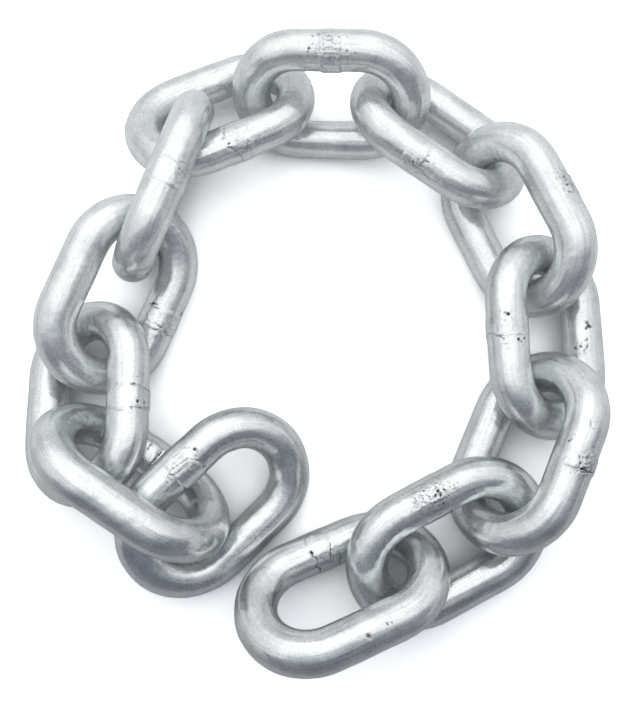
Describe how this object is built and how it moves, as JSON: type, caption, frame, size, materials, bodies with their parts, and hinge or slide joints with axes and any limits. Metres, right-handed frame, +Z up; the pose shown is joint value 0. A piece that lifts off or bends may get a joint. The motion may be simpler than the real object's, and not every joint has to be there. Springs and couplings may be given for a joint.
{
  "type": "heap of steel chain",
  "caption": "Length of galvanised short-link steel chain laid down in an open ring, for lifting, lashing or fencing with shackles or hooks.",
  "frame": {"origin": "middle of the ring in plan, on the floor that the chain lies on", "axes": "+Z up; +Y from the open front of the ring, where its two end links meet, to its back; +X to the right"},
  "size_m": [0.1448, 0.1556, 0.0356],
  "materials": {
    "galvanised_steel": "bright hot-dip galvanising over round mild steel bar, lightly mottled, with small pits beside the welds"
  },
  "bodies": {
    "root": {"link_01": "galvanised_steel", "link_02": "galvanised_steel", "link_03": "galvanised_steel", "link_04": "galvanised_steel", "link_05": "galvanised_steel", "link_06": "galvanised_steel", "link_07": "galvanised_steel", "link_08": "galvanised_steel", "link_09": "galvanised_steel", "link_10": "galvanised_steel", "link_11": "galvanised_steel", "link_12": "galvanised_steel", "link_13": "galvanised_steel"}
  },
  "joints": []
}
